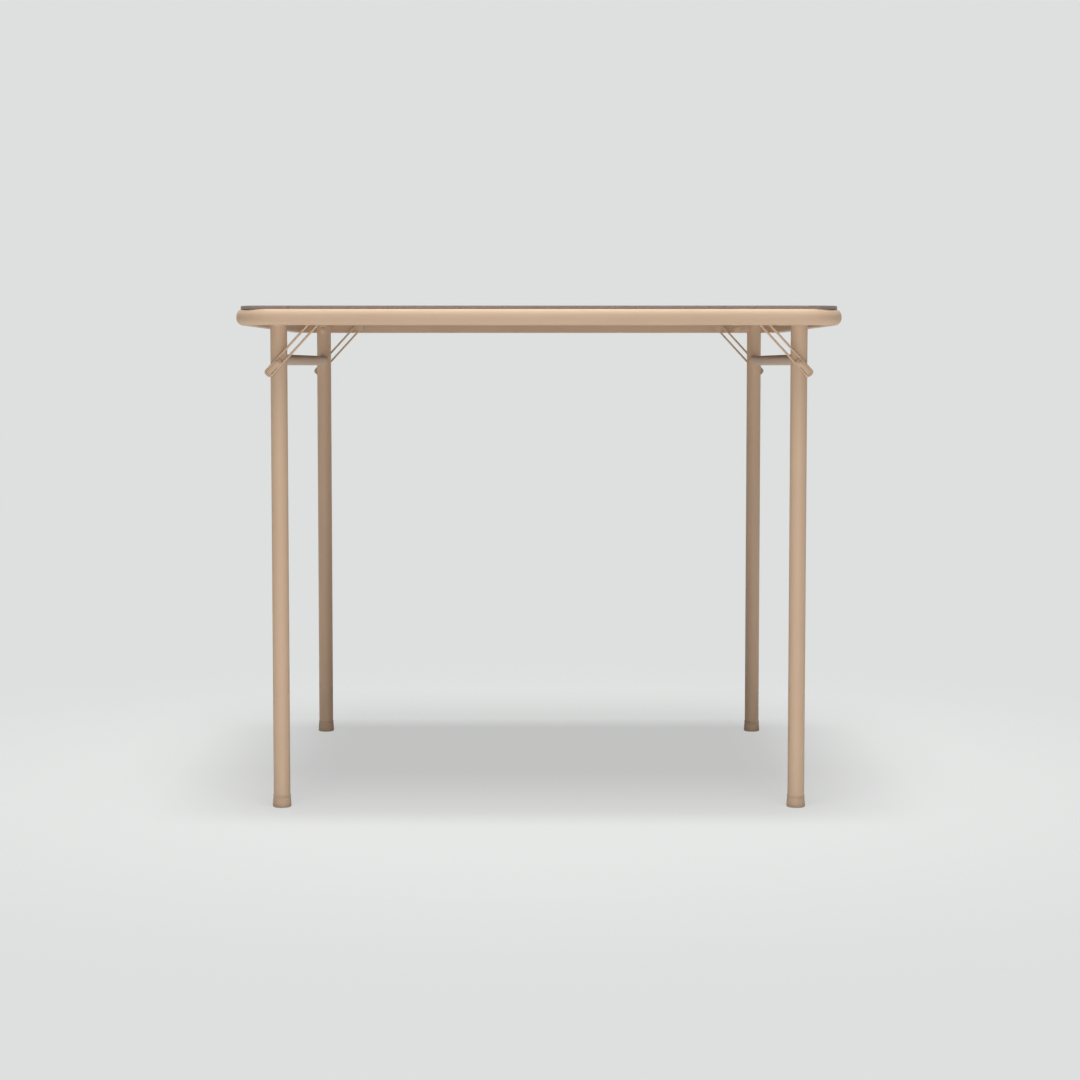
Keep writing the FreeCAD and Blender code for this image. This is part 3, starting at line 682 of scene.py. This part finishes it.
def hinge_pins():
    """Pins with a domed head at each end."""
    low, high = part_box("hinge_pin_front_left")
    head = (high.z - low.z) / 2
    seat = (high.y - low.y) / 2 - PIN_HEAD_HEIGHT
    half = [(PIN_RADIUS, seat)] + domed_head(head, seat, PIN_HEAD_HEIGHT, HEAD_RIM_SHARE)
    model = turned("domed_pin", flipped(half) + half, SMALL_SEGMENTS)
    for corner in CORNERS:
        node = "hinge_pin_" + corner
        pin = copy_of(model, "domed_pin_" + corner, middle_of(node), outward_turn("back"))
        fit_for(pin, node)
    bpy.data.objects.remove(model)


def brace_studs():
    """Shoulder studs: a tail in the leg, a collar against it, a neck in the clip, and a domed head."""
    leg_low, leg_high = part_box("leg_front_left")
    clip_low, clip_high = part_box("brace_clip_front_left")
    low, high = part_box("brace_stud_front_left")
    axis = (leg_low.y + leg_high.y) / 2
    collar = (high.z - low.z) / 2
    tail = axis - high.y
    wall = axis - leg_low.y
    neck = axis - clip_high.y - STUD_CLEARANCE
    seat = axis - clip_low.y + STUD_CLEARANCE
    steps = [(collar, tail), (collar, tail + STUD_HEAD_HEIGHT), (STUD_RADIUS, tail + STUD_HEAD_HEIGHT),
             (STUD_RADIUS, wall + SEAT_GAP), (collar, wall + SEAT_GAP), (collar, neck), (STUD_RADIUS, neck),
             (STUD_RADIUS, seat)]
    steps += domed_head(collar, seat, STUD_HEAD_HEIGHT, HEAD_RIM_SHARE)
    model = turned("shoulder_stud", steps, SMALL_SEGMENTS)
    for corner in CORNERS:
        node = "brace_stud_" + corner
        leg = middle_of("leg_" + corner)
        place = (leg.x, leg.y, middle_of(node).z)
        stud = copy_of(model, "shoulder_stud_" + corner, place, outward_turn(corner.split("_")[0]))
        fit_for(stud, node)
    bpy.data.objects.remove(model)


def rivets(node, name):
    """Domed rivets under the top, one at every solid of a group."""
    low, high = islands(node)[0]
    head = (high.x - low.x) / 2
    shank = high.z - low.z - RIVET_HEAD_HEIGHT
    steps = flipped(domed_head(head, 0, RIVET_HEAD_HEIGHT, RIVET_RIM_SHARE))
    steps += [(RIVET_RADIUS, 0), (RIVET_RADIUS, shank)]
    model = turned("domed_rivet", steps, SMALL_SEGMENTS)
    set_in_group(model, name, node, RIVET_HEAD_HEIGHT)


def recess_cutter(turn):
    """Bar that cuts one slot of a cross recess in a screw's head."""
    bpy.ops.object.select_all(action="DESELECT")
    bpy.ops.mesh.primitive_cube_add(size=1, location=(0, 0, -SCREW_HEAD_HEIGHT), rotation=(0, 0, turn),
                                    scale=(RECESS_WIDTH, RECESS_LENGTH, 2 * RECESS_DEPTH))
    bpy.ops.object.transform_apply(location=True, rotation=True, scale=True)
    return bpy.context.object


def board_screws():
    """Pan-head screws with a cross recess, up through the hinge plates into the board."""
    low, high = islands("board_screws")[0]
    head = (high.x - low.x) / 2
    shank = high.z - low.z - SCREW_HEAD_HEIGHT
    steps = flipped(domed_head(head, 0, SCREW_HEAD_HEIGHT, HEAD_RIM_SHARE))
    steps += [(SCREW_RADIUS, 0), (SCREW_RADIUS, shank)]
    model = turned("pan_screw", steps, SMALL_SEGMENTS)
    for turn in (0, math.radians(90)):
        cutter = recess_cutter(turn)
        alone(model)
        cut = model.modifiers.new("recess", "BOOLEAN")
        cut.operation = "DIFFERENCE"
        cut.solver = "EXACT"
        cut.object = cutter
        bpy.ops.object.modifier_apply(modifier=cut.name)
        bpy.data.objects.remove(cutter)
    set_in_group(model, "pan_screws", "board_screws", SCREW_HEAD_HEIGHT)


def weld_bead(end, side):
    """Rippled weld bead round one end of a crossbar, following the leg's surface."""
    bar_radius = radius_of("crossbar_" + side)
    bar = middle_of("crossbar_" + side)
    leg_radius = radius_of("leg_" + end + "_" + side)
    leg = middle_of("leg_" + end + "_" + side)
    ripples = round(math.tau * bar_radius / BEAD_PITCH)
    bpy.ops.object.select_all(action="DESELECT")
    bpy.ops.mesh.primitive_torus_add(major_radius=bar_radius, minor_radius=BEAD_RADIUS,
                                     major_segments=BEAD_RING_SEGMENTS, minor_segments=BEAD_SEGMENTS,
                                     rotation=(math.radians(90), 0, 0))
    bead = begin("weld_bead_" + end + "_" + side)
    close()
    for vertex in bead.data.vertices:
        angle = math.atan2(vertex.co.z, vertex.co.x)
        swell = 1 + BEAD_RIPPLE * math.cos(ripples * angle)
        ring_x = bar_radius * math.cos(angle)
        ring_z = bar_radius * math.sin(angle)
        x = ring_x + (vertex.co.x - ring_x) * swell
        z = ring_z + (vertex.co.z - ring_z) * swell
        surface = leg.y - ENDS[end] * math.sqrt(leg_radius ** 2 - x ** 2)
        vertex.co = (bar.x + x, surface + vertex.co.y * swell, bar.z + z)
    fit(bead, "tan_enamel", side + "_legs")


def crossbar_welds():
    """A weld bead at both ends of both crossbars."""
    for side in SIDES:
        for end in ENDS:
            weld_bead(end, side)


def eased(node):
    """Copy of a pressed, cast or moulded piece with its sharp edges eased."""
    piece = copy_of(NODES[node], node + "_eased", (0, 0, 0))
    alone(piece)
    bpy.ops.mesh.customdata_custom_splitnormals_clear()
    bpy.ops.object.mode_set(mode="EDIT")
    bpy.ops.mesh.select_all(action="SELECT")
    bpy.ops.mesh.remove_doubles(threshold=MERGE_DISTANCE)
    bpy.ops.mesh.dissolve_limited(angle_limit=FLAT_ANGLE)
    bpy.ops.object.mode_set(mode="OBJECT")
    ease = piece.modifiers.new("ease", "BEVEL")
    ease.width = EDGE_EASE
    ease.segments = EASE_SEGMENTS
    ease.limit_method = "ANGLE"
    ease.angle_limit = EASE_ANGLE
    bpy.ops.object.modifier_apply(modifier=ease.name)
    fit_for(piece, node)


def eased_pieces():
    """Eased plates, brackets, rails, lugs, clips and shoes."""
    for node in list(NODES):
        if node.startswith(EASED_KINDS):
            eased(node)


bpy.context.scene.view_settings.view_transform = "Standard"
camera()
studio()
FINISHES = {"tan_enamel": baked_enamel(), "leatherette": grained_vinyl(), "fibreboard": hardboard(),
            "felt": felt_pad(), "zinc_steel": zinc_plate(), "tan_rubber": moulded_rubber(),
            "nylon": moulded_nylon()}
dress_nodes()
vinyl_top()
foot_caps()
hinge_pins()
brace_studs()
rivets("bracket_rivets", "bracket_rivets_domed")
rivets("rail_rivets", "rail_rivets_domed")
board_screws()
crossbar_welds()
eased_pieces()
